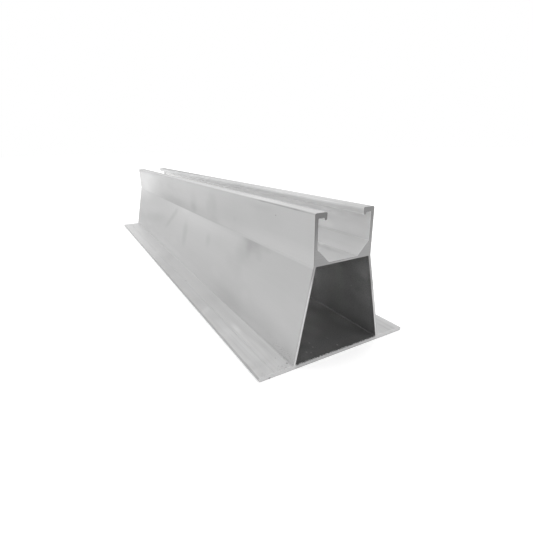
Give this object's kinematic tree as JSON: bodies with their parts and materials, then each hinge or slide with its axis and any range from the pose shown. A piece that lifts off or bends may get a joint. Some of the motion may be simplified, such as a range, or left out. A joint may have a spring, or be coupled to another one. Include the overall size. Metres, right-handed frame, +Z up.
{
  "type": "solar mounting mini rail",
  "caption": "Short extruded aluminium rail with a flanged hollow base and a lipped channel on top, screwed to a metal roof to carry solar module clamps.",
  "frame": {"origin": "middle of the underside, halfway along the rail", "axes": "+Y along the rail, +Z up from the roof through the slot, +X across the rail"},
  "size_m": [0.1, 0.42, 0.08],
  "materials": {
    "mill_aluminium": "extruded, as it leaves the die: satin grey with fine lengthwise lines, ends sawn"
  },
  "bodies": {
    "root": {"mini_rail": "mill_aluminium"}
  },
  "joints": []
}
